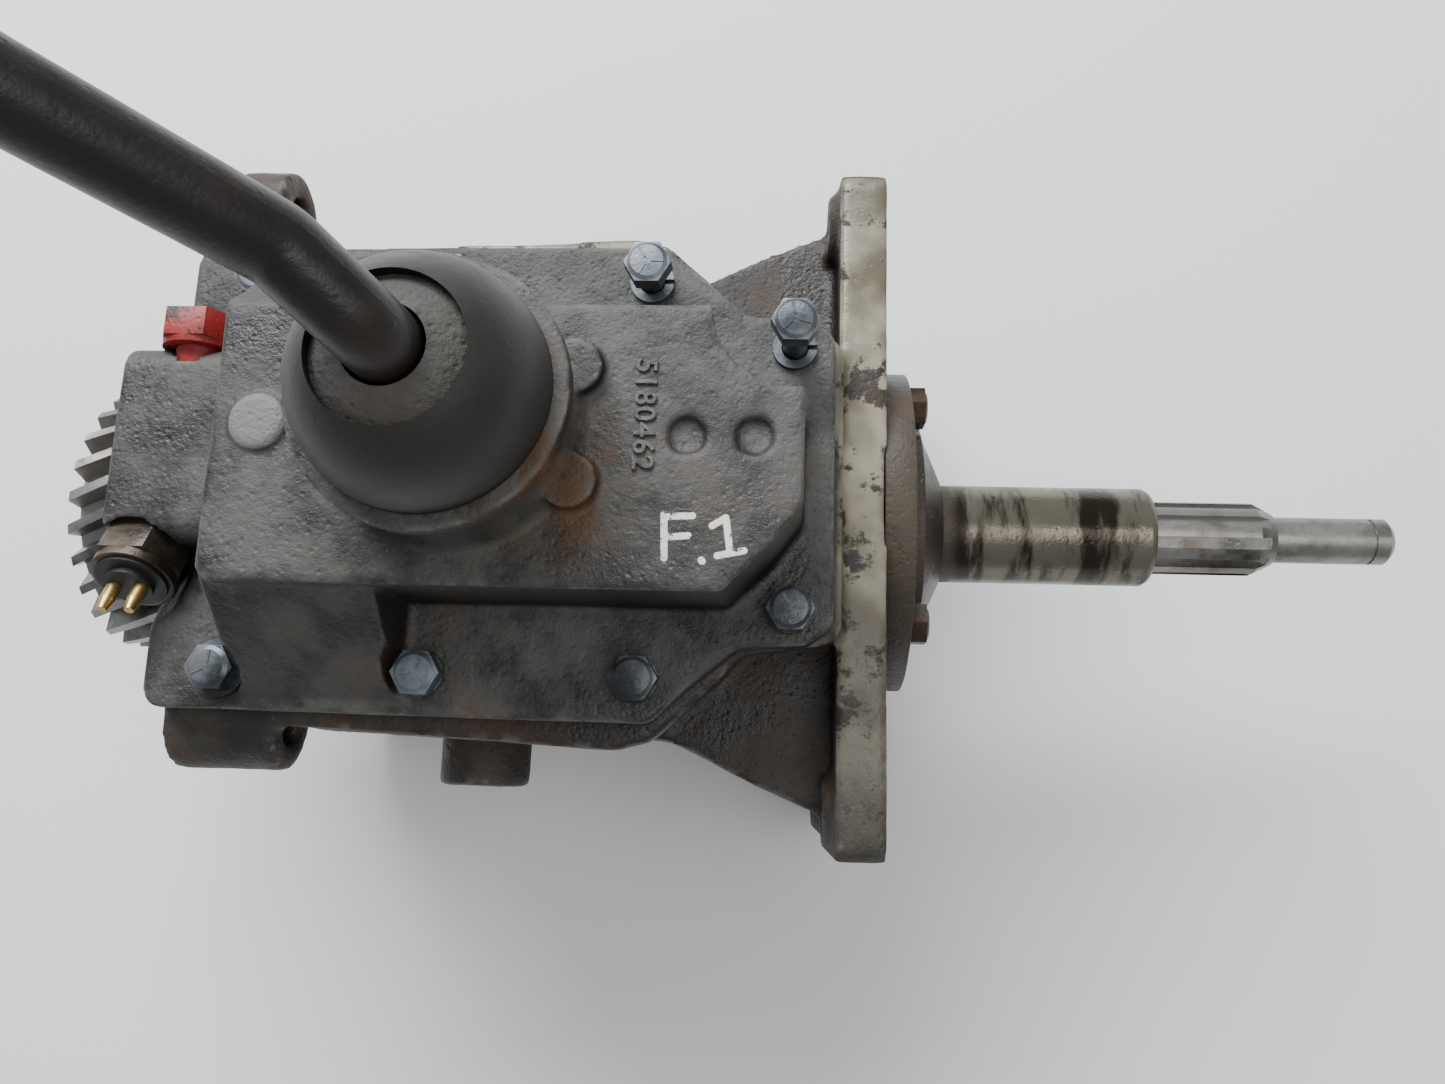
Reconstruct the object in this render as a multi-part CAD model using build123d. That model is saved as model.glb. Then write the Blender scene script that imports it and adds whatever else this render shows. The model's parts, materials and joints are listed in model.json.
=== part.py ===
"""Four-speed top-shift gearbox: bell-housing flange, splined input shaft, and a helical drive gear on its tail.

Millimetres. +X runs along the shafts towards the input end, +Z is up, and +Y completes the frame.
The origin is on the main axis, in the front flange's face.
"""
from build123d import *
import os
from math import acos, atan2, cos, degrees, pi, radians, sin, sqrt, tan

os.makedirs("parts", exist_ok=True)

# ---------------------------------------------------------------- clearances
CLEAR = 0.3             # gap between pieces that pass each other
RUN = 0.05              # radial running clearance of a shaft in its bore
THREAD = 0.05           # gap round a bolt's shank in its hole

# ---------------------------------------------------------------- gear train
MODULE = 2.75
PRESSURE = 25.0
BACKLASH = 0.4
ADDENDUM = 0.85 * MODULE
DEDENDUM = 1.12 * MODULE
Z_INPUT, Z_DRIVE = 20, 30
Z_THIRD, Z_THIRD_PINION = 25, 25
Z_SECOND, Z_SECOND_PINION = 30, 20
Z_FIRST, Z_FIRST_PINION = 36, 14
Z_REVERSE, Z_REVERSE_PINION, Z_IDLER = 32, 12, 18
CENTRES = MODULE * (Z_INPUT + Z_DRIVE) / 2          # main axis to countershaft axis

# ---------------------------------------------------------------- places along the shafts
INPUT_GEAR_X, INPUT_GEAR_W = -22.0, 16.0
GEAR_W, FIRST_W, REVERSE_W = 15.0, 16.0, 9.0
DOG_W, RING_W, RING_GAP = 4.0, 3.0, 0.25
HUB_W, SLEEVE_W = 20.0, 18.0
TRAVEL = 8.0                                         # how far a shift rail slides each way
SIDE_GAP = 1.0                                       # between neighbouring gears
REVERSE_COLLAR_W = 9.0
WALL_GAP = 3.0                                       # between the last gear and the rear wall

synchro_w = 2 * RING_GAP + RING_W                    # from a hub's face to a gear's dogs
input_dog_x = INPUT_GEAR_X - INPUT_GEAR_W
hub34_x = input_dog_x - DOG_W - synchro_w            # front face of the third-fourth hub
hub34_mid = hub34_x - HUB_W / 2
third_dog_x = hub34_x - HUB_W - synchro_w
third_x = third_dog_x - DOG_W
second_x = third_x - GEAR_W - SIDE_GAP
second_dog_x = second_x - GEAR_W
hub12_x = second_dog_x - DOG_W - synchro_w           # front face of the first-second hub
hub12_mid = hub12_x - HUB_W / 2
first_dog_x = hub12_x - HUB_W - synchro_w
first_x = first_dog_x - DOG_W
reverse_x = first_x - FIRST_W - 2 * SIDE_GAP - REVERSE_COLLAR_W
reverse_fork_x = reverse_x + REVERSE_COLLAR_W / 2
idler_x = reverse_x - REVERSE_W - SIDE_GAP
rear_inner_x = idler_x - REVERSE_W - WALL_GAP        # inside of the case's rear wall

# ---------------------------------------------------------------- shafts and bearings
MAIN_R = 17.5
SPIGOT_R = 9.0
POCKET_R = 13.0
BEARING_R, BEARING_W = 40.0, 18.0
RACE_IN_R, RACE_OUT_R = 25.5, 34.5
FRONT_BEARING_X = -1.5
BEARING_DEPTH = 2.0                                  # how deep the rear bearing sits in the rear face
INPUT_JOURNAL_R = 20.0
STEM_R = 12.9
SPLINE_R, SPLINE_TEETH, SPLINE_DEPTH, SPLINE_W = 13.5, 10, 2.2, 4.3
SPLINE_END = 143.0
TIP_R, TIP_END = 8.5, 189.0
PIN_R = 8.0                                          # countershaft and idler pins
NEEDLE_R = 10.6
CLUSTER_TUBE_R = 13.0
DOG_R, DOG_TEETH = 26.2, 36
CONE_BIG, CONE_SMALL = 22.5, 21.5
SLEEVE_BORE_R, SLEEVE_R = 26.6, 38.0
GROOVE_R, GROOVE_W = 33.0, 7.0
COLLAR_R, COLLAR_GROOVE_R, COLLAR_GROOVE_W = 31.0, 26.0, 5.0
FORK_R = 41.0

# ---------------------------------------------------------------- case and its flanges
FLANGE_T = 16.0
FLANGE_TOP, FLANGE_HALF = 60.0, 116.5
BOLT_Y, BOLT_Z_HIGH, BOLT_Z_LOW, BOLT_HOLE_R = 101.6, 44.0, -68.0, 6.5
CASE_BOTTOM = -124.0
WALL = 8.0
FRONT_WALL, REAR_WALL = 20.0, 40.0
COVER_Z = 72.0                                       # underside of the cover
GASKET_T = 0.8
CASE_HALF, LIP_HALF, LIP_T = 78.0, 84.5, 10.0
SHOULDER_Z = 38.0                                    # top of the flared lower body
REAR_BOLT_Y, REAR_BOLT_Z_HIGH, REAR_BOLT_Z_LOW, REAR_BOLT_R = 56.0, 50.0, -106.0, 5.0
RETAINER_R, RETAINER_T, GASKET_R = 59.5, 10.0, 57.5
SEAT_DEPTH, SEAT_RELIEF = 0.5, 1.5                   # the retainer's seat, sunk in the flange face
RETAINER_BOLT_CIRCLE = 50.5
QUILL_R, QUILL_BORE_R, QUILL_END = 18.25, 15.6, 101.0
SEAL_R = 24.0
FILL_X, FILL_Z, PLUG_R = -140.0, 8.0, 9.0
DRAIN_X = -160.0
rear_x = rear_inner_x - REAR_WALL                    # rear face of the case
rear_bearing_x = rear_x + BEARING_W + BEARING_DEPTH  # front face of the rear bearing
case_top = COVER_Z - GASKET_T

# ---------------------------------------------------------------- cover, tower and lever
COVER_T = 9.0
PLATFORM_Z, ROOF = 116.0, 7.0
TOWER_X, TOWER_Y = -127.0, 6.0
PIVOT_Z = 144.4
BALL_R = 15.0
COLLAR_TOP_Z, TOWER_COLLAR_R, TOWER_R = 143.0, 38.0, 30.0
STUB_R, STUB_Z = 26.0, 151.0
DOME_R, DOME_T, MOUTH_R = 33.8, 2.5, 19.6
DUST_CAP_T, DUST_CAP_ANGLE, DUST_HOLE_R = 2.0, 52.0, 10.4
LEVER_R = 9.5
LEVER_PATH = ((0, 0, 35.0), (-16, 13.5, 50.6), (-53, 25, 90.6), (-128, 50, 176.0))   # from the pivot
KNOB_R = 23.0
PIVOT_PIN_R, PIVOT_PIN_HALF = 4.0, 20.0
RAIL_R, RAIL_Z = 5.5, 73.0
RAIL_Y = {"34": 21.0, "12": 4.5, "reverse": -12.0}
RAIL_FRONT_X, RAIL_REAR_X = -30.0, -198.0
GATE_Y = {"34": TOWER_Y + 9.5, "12": TOWER_Y, "reverse": TOWER_Y - 9.5}
GATE_T, GATE_LENGTH, GATE_TOP_Z, FOOT_HALF = 8.0, 28.0, 100.0, 6.5
FINGER_R, FINGER_T, FINGER_Z = 6.5, 6.4, 96.4
DETENT_X = {"34": -93.0, "12": -61.0, "reverse": -93.0}
DETENT_R = 3.0
BOLT_R, BOLT_AF, BOLT_HEAD, WASHER_T = 4.0, 13.0, 5.6, 2.0
SIDE_BOLTS_X = (-77.0, -142.0, -205.0)
SIDE_BOLT_Y = 63.4
FRONT_BOLT_X, FRONT_BOLT_Y = -31.0, 41.6
LOOSE_BOLTS = {(-77.0, SIDE_BOLT_Y): 9.0, (FRONT_BOLT_X, FRONT_BOLT_Y): 17.0}
BOSS_END_X, BOSS_Y0, BOSS_Y1, BOSS_Z = -240.0, -27.0, 36.0, 96.0
HEX_PLUG_X, HEX_PLUG_Z, HEX_PLUG_AF = -220.0, 88.0, 22.0
SWITCH_X, SWITCH_Z, SWITCH_TILT, SWITCH_AF = -231.0, 82.5, 32.0, 24.0
SHANK_R, SHANK_L = 7.0, 8.0                           # threaded shank of the plug and of the switch
cover_top = COVER_Z + COVER_T
roof_z = PLATFORM_Z - ROOF

# ---------------------------------------------------------------- drive gear on the tail
TAIL_X, TAIL_W, TAIL_R, TAIL_TEETH = -258.0, 25.0, 50.0, 27
TAIL_HELIX, TAIL_DEPTH = 26.0, 7.0
TAIL_SHAFT_R, THREAD_R, SPACER_R = 15.5, 11.0, 22.0
NUT_AF, NUT_T = 36.0, 14.0

MAIN_AXIS = (0.0, 0.0)
COUNTER_AXIS = (0.0, -CENTRES)
idler_to_counter = MODULE * (Z_REVERSE_PINION + Z_IDLER) / 2
idler_to_main = MODULE * (Z_REVERSE + Z_IDLER) / 2
idler_z = (idler_to_counter**2 - idler_to_main**2 - CENTRES**2) / (2 * CENTRES)
idler_y = sqrt(idler_to_main**2 - idler_z**2)
IDLER_AXIS = (idler_y, idler_z)


# ---------------------------------------------------------------- helpers
def across(x, axis=MAIN_AXIS):
    """Sketch plane square to the shafts at x: its own x is +Y, its own y is +Z, and it faces +X."""
    return Plane(origin=(x, axis[0], axis[1]), x_dir=(0, 1, 0), z_dir=(1, 0, 0))


def disc(x0, x1, radius, axis=MAIN_AXIS):
    """Cylinder along X."""
    low, high = sorted((x0, x1))
    return extrude(across(low, axis) * Circle(radius), high - low)


def ring(x0, x1, outer, inner, axis=MAIN_AXIS):
    return disc(x0, x1, outer, axis) - disc(min(x0, x1) - 1, max(x0, x1) + 1, inner, axis)


def cone(x0, x1, r0, r1, axis=MAIN_AXIS):
    """Cone along X, radius r0 at x0 and r1 at x1."""
    return loft([across(x0, axis) * Circle(r0), across(x1, axis) * Circle(r1)])


def block(x0, x1, y0, y1, z0, z1):
    return Pos((x0 + x1) / 2, (y0 + y1) / 2, (z0 + z1) / 2) * Box(abs(x1 - x0), abs(y1 - y0), abs(z1 - z0))


def upright(x, y, z0, z1, radius):
    """Cylinder along Z."""
    return Pos(x, y, (z0 + z1) / 2) * Cylinder(radius, z1 - z0)


def sideways(x, z, y0, y1, radius):
    """Cylinder along Y."""
    return Pos(x, (y0 + y1) / 2, z) * Rot(X=90) * Cylinder(radius, abs(y1 - y0))


def slab(points, z0, z1, corner=0.0):
    """Outline in the XY plane, raised from z0 to z1, its corners rounded."""
    face = make_face(Polyline(*points, close=True))
    if corner:
        face = fillet(face.vertices(), corner)
    return extrude(Pos(0, 0, z0) * face, z1 - z0)


def mirrored(points):
    """The points on +Y followed by the same points on -Y in reverse."""
    return list(points) + [(x, -y) for x, y in reversed(points)]


def inset(points, by):
    """The points moved inwards in Y."""
    return [(x, y - by) for x, y in points]


def hexagon(across_flats, height):
    return extrude(RegularPolygon(across_flats / 2, 6, major_radius=False), height)


def group(*shapes):
    """Separate solids under one name."""
    return Compound(children=[solid for shape in shapes for solid in shape.solids()])


def save(name, shape):
    solids = shape.solids()
    kept = solids[0] if len(solids) == 1 else Compound(children=list(solids))
    kept.label = name
    export_step(kept, f"parts/{name}.step")


# ---------------------------------------------------------------- gear teeth
def involute(alpha):
    return tan(alpha) - alpha


def tooth_half_angle(radius, teeth):
    """Half a tooth's angle, in radians, at this radius."""
    pitch_r = MODULE * teeth / 2
    base_r = pitch_r * cos(radians(PRESSURE))
    at_pitch = (pi * MODULE / 2 - BACKLASH / 2) / 2 / pitch_r + involute(radians(PRESSURE))
    return at_pitch - involute(acos(min(1.0, base_r / radius)))


def gear_face(teeth, first_tooth):
    """Outline of a spur gear, one tooth centred at first_tooth, in degrees from +Y towards +Z."""
    pitch_r = MODULE * teeth / 2
    tip, root = pitch_r + ADDENDUM, pitch_r - DEDENDUM
    radii = (root, (root + tip) / 2, tip)
    halves = [tooth_half_angle(r, teeth) for r in radii]
    step = 2 * pi / teeth
    edges = []
    for k in range(teeth):
        mid = radians(first_tooth) + k * step
        rise = [(r * cos(mid - h), r * sin(mid - h)) for r, h in zip(radii, halves)]
        fall = [(r * cos(mid + h), r * sin(mid + h)) for r, h in zip(radii, halves)][::-1]
        following = mid + step - halves[0]
        edges += [ThreePointArc(*rise), Line(rise[-1], fall[0]), ThreePointArc(*fall)]
        edges.append(Line(fall[-1], (root * cos(following), root * sin(following))))
    return make_face(edges)


def gear(x_front, width, teeth, first_tooth, axis=MAIN_AXIS):
    return extrude(across(x_front - width, axis) * gear_face(teeth, first_tooth), width)


def mating_tooth(teeth, first_tooth, mate_teeth, direction):
    """First tooth of a gear that lies in that direction, in degrees, from a gear with a known first tooth."""
    return direction + 180 + (180 - (first_tooth - direction) * teeth) / mate_teeth


MAIN_TOOTH = -90.0                                   # main gears point a tooth down at the countershaft


def counter_tooth(teeth):
    """Countershaft gears show a space upwards, where the main gear's tooth drops in."""
    return mating_tooth(teeth, MAIN_TOOTH, teeth, MAIN_TOOTH)


to_idler = degrees(atan2(idler_z + CENTRES, idler_y))
idler_tooth = mating_tooth(Z_REVERSE_PINION, counter_tooth(Z_REVERSE_PINION), Z_IDLER, to_idler)
to_main = degrees(atan2(-idler_z, -idler_y))
reverse_tooth = mating_tooth(Z_IDLER, idler_tooth, Z_REVERSE, to_main)


# ---------------------------------------------------------------- input shaft
def dog_ring(x_front, side):
    """Ring of clutch dogs beside a gear, with the synchroniser's cone on its front (+1) or rear (-1)."""
    dogs = disc(x_front, x_front - DOG_W, DOG_R)
    notch = block(x_front - DOG_W - 1, x_front + 1, -1.1, 1.1, DOG_R - 2.0, DOG_R + 1)
    dogs -= [Rot(X=k * 360 / DOG_TEETH) * notch for k in range(DOG_TEETH)]
    start = x_front if side > 0 else x_front - DOG_W
    return dogs + cone(start, start + side * (RING_W + RING_GAP), CONE_BIG, CONE_SMALL)


def input_shaft():
    shaft = disc(INPUT_GEAR_X, -FRONT_WALL, RACE_IN_R - 1)
    shaft += disc(-FRONT_WALL, FRONT_BEARING_X, INPUT_JOURNAL_R)
    shaft += disc(FRONT_BEARING_X, QUILL_END, STEM_R)
    barrel = disc(QUILL_END, SPLINE_END - 4, SPLINE_R)
    barrel += cone(SPLINE_END - 4, SPLINE_END + 3, SPLINE_R, TIP_R + 1.5)
    groove = block(QUILL_END + 1, SPLINE_END + 4, -SPLINE_W / 2, SPLINE_W / 2,
                   SPLINE_R - SPLINE_DEPTH, SPLINE_R + 2)
    barrel -= [Rot(X=(k + 0.5) * 360 / SPLINE_TEETH) * groove for k in range(SPLINE_TEETH)]
    shaft += barrel + disc(SPLINE_END + 3, TIP_END - 2, TIP_R) + cone(TIP_END - 2, TIP_END, TIP_R, TIP_R - 2)
    shaft -= ring(TIP_END - 8, TIP_END - 7, TIP_R + 1, TIP_R - 0.5)
    shaft += gear(INPUT_GEAR_X, INPUT_GEAR_W, Z_INPUT, MAIN_TOOTH) + dog_ring(input_dog_x, -1)
    return shaft - disc(hub34_x, INPUT_GEAR_X - 1, POCKET_R)


spigot_x = INPUT_GEAR_X - 4
save("input_shaft", input_shaft())
save("front_bearing_inner", ring(FRONT_BEARING_X, FRONT_BEARING_X - BEARING_W, RACE_IN_R, INPUT_JOURNAL_R))
save("pilot_needle_bearing", ring(spigot_x, spigot_x - 14, POCKET_R - RUN, SPIGOT_R + RUN))
save("rear_bearing_inner", ring(rear_bearing_x, rear_bearing_x - BEARING_W, RACE_IN_R, MAIN_R))
save("bearing_outer_races", group(*[ring(x, x - BEARING_W, BEARING_R, RACE_OUT_R)
                                    for x in (FRONT_BEARING_X, rear_bearing_x)]))


def caged_balls(x_front, count):
    """Balls between two races, held in a cage ring."""
    mid_r, mid_x = (RACE_IN_R + RACE_OUT_R) / 2, x_front - BEARING_W / 2
    cage = ring(mid_x + 2, mid_x - 2, mid_r + 1.5, mid_r - 1.5)
    ball = Pos(mid_x, 0, mid_r) * Sphere((RACE_OUT_R - RACE_IN_R) / 2 - RUN)
    return cage + [Rot(X=k * 360 / count) * ball for k in range(count)]


save("bearing_balls", group(caged_balls(FRONT_BEARING_X, 11), caged_balls(rear_bearing_x, 11)))


# ---------------------------------------------------------------- main shaft
def mainshaft():
    bearing_end = rear_bearing_x - BEARING_W
    shaft = disc(spigot_x, hub34_x, SPIGOT_R) + disc(hub34_x, bearing_end, MAIN_R)
    shaft += disc(bearing_end, TAIL_X - TAIL_W, TAIL_SHAFT_R)
    return shaft + disc(TAIL_X - TAIL_W, TAIL_X - TAIL_W - NUT_T - 4, THREAD_R)


save("mainshaft", mainshaft())


def hub(x_front):
    """Synchroniser hub: a spool on the shaft with three key slots in its rim."""
    body = ring(x_front, x_front - HUB_W, SLEEVE_BORE_R - 0.2, MAIN_R)
    slot = block(x_front - HUB_W - 1, x_front + 1, -3, 3, SLEEVE_BORE_R - 3, SLEEVE_BORE_R + 2)
    return body - [Rot(X=60 + k * 120) * slot for k in range(3)]


def keys(x_front):
    """Three sliding keys in the hub's slots."""
    key = block(x_front - HUB_W + 2, x_front - 2, -2.9, 2.9, SLEEVE_BORE_R - 3, SLEEVE_BORE_R - 0.3)
    return [Rot(X=60 + k * 120) * key for k in range(3)]


def blocker(hub_face, side):
    """Blocker ring against a hub's face, its tapered bore round the gear's cone."""
    body = disc(hub_face, hub_face + side * RING_W, DOG_R)
    return body - cone(hub_face - side, hub_face + side * (RING_W + 1), CONE_SMALL + 0.2, CONE_BIG + 0.7)


save("hub_34", hub(hub34_x))
save("hub_12", hub(hub12_x))
save("synchro_keys", group(*keys(hub34_x), *keys(hub12_x)))
save("blocker_rings", group(blocker(hub34_x, 1), blocker(hub34_x - HUB_W, -1),
                            blocker(hub12_x, 1), blocker(hub12_x - HUB_W, -1)))


def free_gear(x_front, width, teeth, dog_x, side):
    """Gear that turns on the main shaft until its dogs are engaged."""
    body = gear(x_front, width, teeth, MAIN_TOOTH) + dog_ring(dog_x, side)
    return body - disc(x_front - width - DOG_W - RING_W - 1, x_front + DOG_W + RING_W + 1, MAIN_R + RUN)


save("third_gear", free_gear(third_x, GEAR_W, Z_THIRD, third_dog_x, 1))
save("second_gear", free_gear(second_x, GEAR_W, Z_SECOND, second_dog_x, -1))
save("first_gear", free_gear(first_x, FIRST_W, Z_FIRST, first_dog_x, 1))


def sleeve(mid_x):
    """Sliding sleeve with the fork's groove round it."""
    body = ring(mid_x + SLEEVE_W / 2, mid_x - SLEEVE_W / 2, SLEEVE_R, SLEEVE_BORE_R)
    return body - ring(mid_x + GROOVE_W / 2, mid_x - GROOVE_W / 2, SLEEVE_R + 1, GROOVE_R)


def reverse_gear():
    """Sliding reverse gear, with a grooved collar in front of its teeth."""
    body = gear(reverse_x, REVERSE_W, Z_REVERSE, reverse_tooth)
    body += disc(reverse_x, reverse_x + REVERSE_COLLAR_W, COLLAR_R)
    half = COLLAR_GROOVE_W / 2
    body -= ring(reverse_fork_x - half, reverse_fork_x + half, COLLAR_R + 1, COLLAR_GROOVE_R)
    return body - disc(reverse_x - REVERSE_W - 1, reverse_x + REVERSE_COLLAR_W + 1, MAIN_R + RUN)


save("sleeve_34", sleeve(hub34_mid))
save("sleeve_12", sleeve(hub12_mid))
save("reverse_sliding_gear", reverse_gear())

# ---------------------------------------------------------------- countershaft and reverse idler
cluster_end = idler_x - REVERSE_W


def cluster_gear():
    """Countershaft gears in one piece on a hollow tube."""
    body = disc(INPUT_GEAR_X, cluster_end, CLUSTER_TUBE_R, COUNTER_AXIS)
    body += disc(INPUT_GEAR_X - INPUT_GEAR_W, third_x, 20.0, COUNTER_AXIS)
    for x, width, teeth in ((INPUT_GEAR_X, INPUT_GEAR_W, Z_DRIVE), (third_x, GEAR_W, Z_THIRD_PINION),
                            (second_x, GEAR_W, Z_SECOND_PINION), (first_x, FIRST_W, Z_FIRST_PINION),
                            (idler_x, REVERSE_W, Z_REVERSE_PINION)):
        body += gear(x, width, teeth, counter_tooth(teeth), COUNTER_AXIS)
    return body - disc(0, cluster_end - 1, NEEDLE_R, COUNTER_AXIS)


NEEDLE_W = 24.0
WASHER_GAP = 0.3
save("cluster_gear", cluster_gear())
save("countershaft_needles", group(*[ring(x, x - NEEDLE_W, NEEDLE_R, PIN_R + RUN, COUNTER_AXIS)
                                     for x in (INPUT_GEAR_X, cluster_end + NEEDLE_W)]))
save("countershaft_pin", disc(-1.0, rear_x, PIN_R, COUNTER_AXIS))
save("thrust_washers", group(ring(-FRONT_WALL, INPUT_GEAR_X + WASHER_GAP, 20.0, PIN_R, COUNTER_AXIS),
                             ring(cluster_end - WASHER_GAP, rear_inner_x, 16.0, PIN_R, COUNTER_AXIS)))
BUSH_R = 11.0
save("idler_gear", gear(idler_x, REVERSE_W, Z_IDLER, idler_tooth, IDLER_AXIS)
     - disc(idler_x + 1, idler_x - REVERSE_W - 1, BUSH_R, IDLER_AXIS))
save("idler_bush", ring(idler_x, idler_x - REVERSE_W, BUSH_R, PIN_R + RUN, IDLER_AXIS))
save("idler_pin", disc(idler_x + 3, rear_x, PIN_R, IDLER_AXIS)
     + disc(idler_x + 3, idler_x + 0.4, BUSH_R, IDLER_AXIS))


# ---------------------------------------------------------------- drive gear on the tail
def tail_gear():
    """Helical gear, bored for the shaft and dished on its rear face."""
    root = TAIL_R - TAIL_DEPTH
    half_tip, half_root = 1.7 / TAIL_R, 3.0 / root
    step = 2 * pi / TAIL_TEETH
    points = []
    for k in range(TAIL_TEETH):
        for radius, turn in ((root, -half_root), (TAIL_R, -half_tip), (TAIL_R, half_tip), (root, half_root)):
            points.append((radius * cos(k * step + turn), radius * sin(k * step + turn)))
    outline = across(TAIL_X - TAIL_W) * make_face(Polyline(*points, close=True))
    twist = degrees(TAIL_W * tan(radians(TAIL_HELIX)) / TAIL_R)
    body = Part() + Solid.extrude_linear_with_rotation(
        outline.face(), center=(TAIL_X - TAIL_W, 0, 0), normal=(TAIL_W, 0, 0), angle=-twist)
    body -= disc(TAIL_X + 1, TAIL_X - TAIL_W - 1, TAIL_SHAFT_R)
    return body - ring(TAIL_X - TAIL_W + 5, TAIL_X - TAIL_W - 1, 37.0, 24.0)


def tail_nut():
    """Castellated nut that holds the gear on the shaft."""
    x0 = TAIL_X - TAIL_W - NUT_T
    body = extrude(across(x0) * RegularPolygon(NUT_AF / 2, 6, major_radius=False), NUT_T)
    slot = block(x0 - 1, x0 + 4, -2.5, 2.5, THREAD_R - 1, NUT_AF)
    body -= disc(x0 - 1, x0 + NUT_T + 1, THREAD_R)
    return body - [Rot(X=30 + k * 60) * slot for k in range(6)]


save("tail_drive_gear", tail_gear())
save("tail_nut", tail_nut())
save("tail_spacer", ring(rear_bearing_x - BEARING_W, TAIL_X, SPACER_R, TAIL_SHAFT_R))

# ---------------------------------------------------------------- case
front_lip = [(-FLANGE_T + 1, 47.0), (-20.0, 51.0), (-45.0, 54.0), (-56.0, 66.0), (-73.0, LIP_HALF - 3),
             (-84.0, LIP_HALF)]
lip_outline = front_lip + [(rear_x, CASE_HALF)]
body_outline = [(-FLANGE_T + 1, 105.0), (-40.0, 95.0), (-70.0, CASE_HALF + 3), (-95.0, CASE_HALF),
                (rear_x, CASE_HALF - 2)]
upper_outline = inset(front_lip, 6.0) + [(rear_x, CASE_HALF - 2)]
opening = [(-FRONT_WALL, 38.0), (-45.0, 44.0), (-62.0, 52.0), (-80.0, 55.0), (rear_inner_x, 55.0)]


def side_bolt_places():
    return [(x, side * SIDE_BOLT_Y) for side in (-1, 1) for x in SIDE_BOLTS_X]


def cover_bolt_places():
    return side_bolt_places() + [(FRONT_BOLT_X, side * FRONT_BOLT_Y) for side in (-1, 1)]


def retainer_bolt_places():
    angles = [radians(a) for a in (40, 140, 220, 320)]
    return [(RETAINER_BOLT_CIRCLE * cos(a), RETAINER_BOLT_CIRCLE * sin(a)) for a in angles]


def bell_flange():
    """Front flange with four bolt holes, and a boss behind each of them."""
    side = [(FLANGE_HALF, FLANGE_TOP), (FLANGE_HALF, 24), (100, 8), (100, -42), (FLANGE_HALF, -56),
            (FLANGE_HALF, -88), (84, CASE_BOTTOM)]
    face = make_face(Polyline(*side, *[(-y, z) for y, z in reversed(side)], close=True))
    plate = extrude(across(-FLANGE_T) * fillet(face.vertices(), 7.0), FLANGE_T)
    for place in flange_bolt_places():
        plate += disc(-FLANGE_T, -FLANGE_T - 4, 11.5, place)
    return plate


def flange_bolt_places():
    return [(y, z) for y in (-BOLT_Y, BOLT_Y) for z in (BOLT_Z_LOW, BOLT_Z_HIGH)]


def rear_bolt_places():
    return [(y, z) for y in (-REAR_BOLT_Y, REAR_BOLT_Y) for z in (REAR_BOLT_Z_LOW, REAR_BOLT_Z_HIGH)]


REAR_LUGS = ((101.0, 56.0, 14.0, 20.0), (-80.0, 55.0, 14.0, 36.0))    # Y, Z, radius and length of each
LUG_HOLE_R = 5.5


def rear_lugs():
    """Two lugs beside the rear face, each with a hole along the shafts."""
    body = Part()
    for y, z, radius, length in REAR_LUGS:
        inner = (CASE_HALF - 8) * (1 if y > 0 else -1)
        body += disc(rear_x, rear_x + length, radius, (y, z))
        body += block(rear_x, rear_x + length, inner, y, z - radius, z + radius)
    return body


def cavity():
    """Room inside the case: wide below, and as narrow as the cover's opening at the top."""
    low = [(-FRONT_WALL, 62.0), (-30.0, 84.0), (-68.0, 72.0), (-95.0, CASE_HALF - WALL),
           (rear_inner_x, CASE_HALF - WALL - 2)]
    room = slab(mirrored(low), CASE_BOTTOM + WALL, SHOULDER_Z - WALL, 5.0)
    room += slab(mirrored(opening), SHOULDER_Z - WALL - 1, case_top + 1, 4.0)
    rails = block(RAIL_REAR_X - TRAVEL - 8, rear_inner_x + 6, -22, 31, RAIL_Z - RAIL_R - 5, case_top + 1)
    return room + rails


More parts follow.
